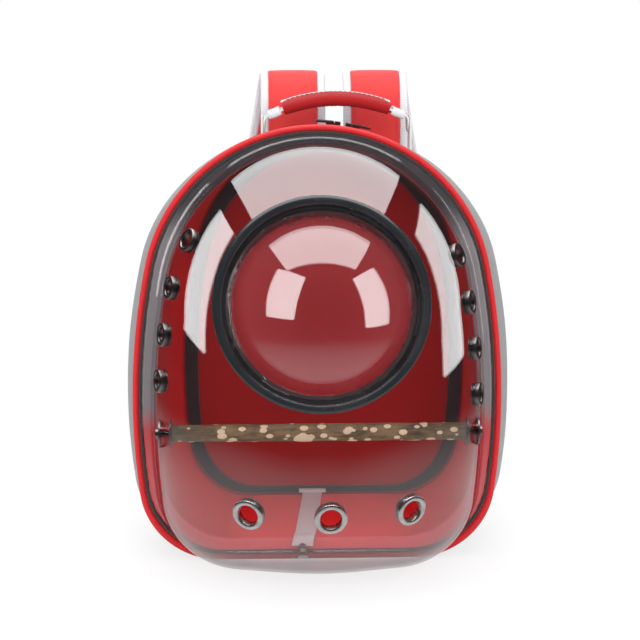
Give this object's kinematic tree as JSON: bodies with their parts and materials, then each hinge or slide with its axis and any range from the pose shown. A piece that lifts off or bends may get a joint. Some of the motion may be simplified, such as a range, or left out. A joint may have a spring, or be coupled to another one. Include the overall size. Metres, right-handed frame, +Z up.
{
  "type": "bird travel carrier",
  "caption": "Backpack carrier for a bird: fabric box body, clear domed front door with a bubble window, eyelets and a perch, carrying handle and shoulder straps.",
  "frame": {"origin": "middle of the base panel's underside, on the surface the carrier stands on", "axes": "+Z up, the clear front faces -Y, +X to the right when looking at the front along +Y"},
  "size_m": [0.368, 0.3913, 0.4481],
  "materials": {
    "red_fabric": "woven polyester, matt",
    "red_binding": "coated binding tape, satin",
    "red_lining": "coated lining, satin",
    "grey_fabric": "silver-grey woven polyester",
    "grey_binding": "folded binding tape",
    "dark_binding": "folded binding tape, dark",
    "black_fabric": "webbing and mesh, matt",
    "pale_webbing": "flat woven webbing",
    "zip_tape": "zip tape",
    "zip_metal": "dark plated",
    "clear_shell": "clear moulded, slightly smoky, glossy",
    "black_plastic": "moulded, semi-gloss",
    "black_rubber": "matt",
    "eyelet_metal": "polished, plated",
    "steel": "plated steel",
    "perch_wood": "natural bark with pale knots",
    "stiff_board": "moulded board, matt"
  },
  "bodies": {
    "body": {"base_panel": "stiff_board", "side_gusset": "grey_fabric", "lining": "red_lining", "back_wall": "red_lining", "back_board": "grey_fabric", "back_pad": "black_fabric", "back_binding": "dark_binding", "floor_mat": "red_lining", "zip_tape_rear": "zip_tape", "zip_teeth_rear": "zip_metal", "handle_legs": "pale_webbing", "handle_anchors": "pale_webbing", "shoulder_strap_left": "red_fabric", "shoulder_strap_right": "red_fabric", "strap_edges_left": "grey_binding", "strap_edges_right": "grey_binding", "strap_anchor": "grey_fabric", "lower_webbing": "black_fabric", "lower_anchors": "black_fabric", "tether_webbing": "pale_webbing", "tether_anchor": "pale_webbing", "clip_swivel": "steel"},
    "door": {"zip_tape_front": "zip_tape", "zip_teeth_front": "zip_metal", "rim_binding": "red_binding", "rim_piping": "red_binding", "inner_rim_binding": "grey_binding", "front_shell": "clear_shell", "bubble_ring": "black_plastic", "bubble_frame": "black_plastic", "front_eyelets": "eyelet_metal", "front_eyelet_washers": "steel", "side_eyelets_left": "eyelet_metal", "side_eyelets_right": "eyelet_metal", "side_eyelet_washers": "steel", "perch": "perch_wood", "perch_washers": "steel", "perch_screws": "steel"},
    "seal": {"bubble_seal": "black_rubber"},
    "dome": {"bubble_dome": "clear_shell"},
    "slider_left": {"zip_slider_left": "zip_metal"},
    "slider_right": {"zip_slider_right": "zip_metal"},
    "tab_left": {"pull_tab_left": "zip_metal"},
    "tab_right": {"pull_tab_right": "zip_metal"},
    "handle": {"handle_webbing": "pale_webbing", "handle_grip": "red_fabric", "handle_collars": "pale_webbing"},
    "lock_left": {"ladder_lock_left": "black_plastic"},
    "lock_right": {"ladder_lock_right": "black_plastic"},
    "clip": {"clip_body": "steel"},
    "gate": {"clip_gate": "steel"}
  },
  "joints": [
    {"name": "door_hinge", "type": "hinge", "parent": "body", "child": "door", "pos_m": [0, -0.0745, 0], "axis": [1, 0, 0], "range_deg": [0, 90]},
    {"name": "bubble_slide", "type": "slide", "parent": "door", "child": "seal", "axis": [0, -0.9553, 0.2958], "range_m": [0, 0.06]},
    {"name": "bubble_twist", "type": "hinge", "parent": "seal", "child": "dome", "pos_m": [0, -0.20149, 0.27082], "axis": [0, -0.9553, 0.2958], "range_deg": [0, 25]},
    {"name": "slider_left_run", "type": "hinge", "parent": "body", "child": "slider_left", "pos_m": [0, -0.0745, 0.2515], "axis": [0, 1, 0], "range_deg": [-70, 0]},
    {"name": "slider_right_run", "type": "hinge", "parent": "body", "child": "slider_right", "pos_m": [0, -0.0745, 0.2515], "axis": [0, 1, 0], "range_deg": [0, 54]},
    {"name": "tab_left_flip", "type": "hinge", "parent": "slider_left", "child": "tab_left", "pos_m": [0.01473, -0.0745, 0.41333], "axis": [0, 1, 0], "range_deg": [0, 100]},
    {"name": "tab_right_flip", "type": "hinge", "parent": "slider_right", "child": "tab_right", "pos_m": [0.03268, -0.0745, 0.41068], "axis": [0, -1, 0], "range_deg": [0, 100]},
    {"name": "handle_swing", "type": "hinge", "parent": "body", "child": "handle", "pos_m": [0.023, 0.0525, 0.40461], "axis": [1, 0, 0], "range_deg": [-20, 30]},
    {"name": "lock_left_tilt", "type": "hinge", "parent": "body", "child": "lock_left", "pos_m": [-0.076, 0.1191, 0.136], "axis": [1, 0, 0], "range_deg": [0, 35]},
    {"name": "lock_right_tilt", "type": "hinge", "parent": "body", "child": "lock_right", "pos_m": [0.122, 0.1191, 0.136], "axis": [1, 0, 0], "range_deg": [0, 35]},
    {"name": "clip_swivel_turn", "type": "hinge", "parent": "body", "child": "clip", "pos_m": [-0.015, -0.1078, 0.0192], "axis": [0, 1, 0], "continuous": true},
    {"name": "gate_press", "type": "hinge", "parent": "clip", "child": "gate", "pos_m": [-0.0115, -0.1219, 0.0192], "axis": [0, 0, -1], "range_deg": [0, 15], "stiffness_Nm_per_rad": 0.01, "springref_deg": -11.46}
  ]
}
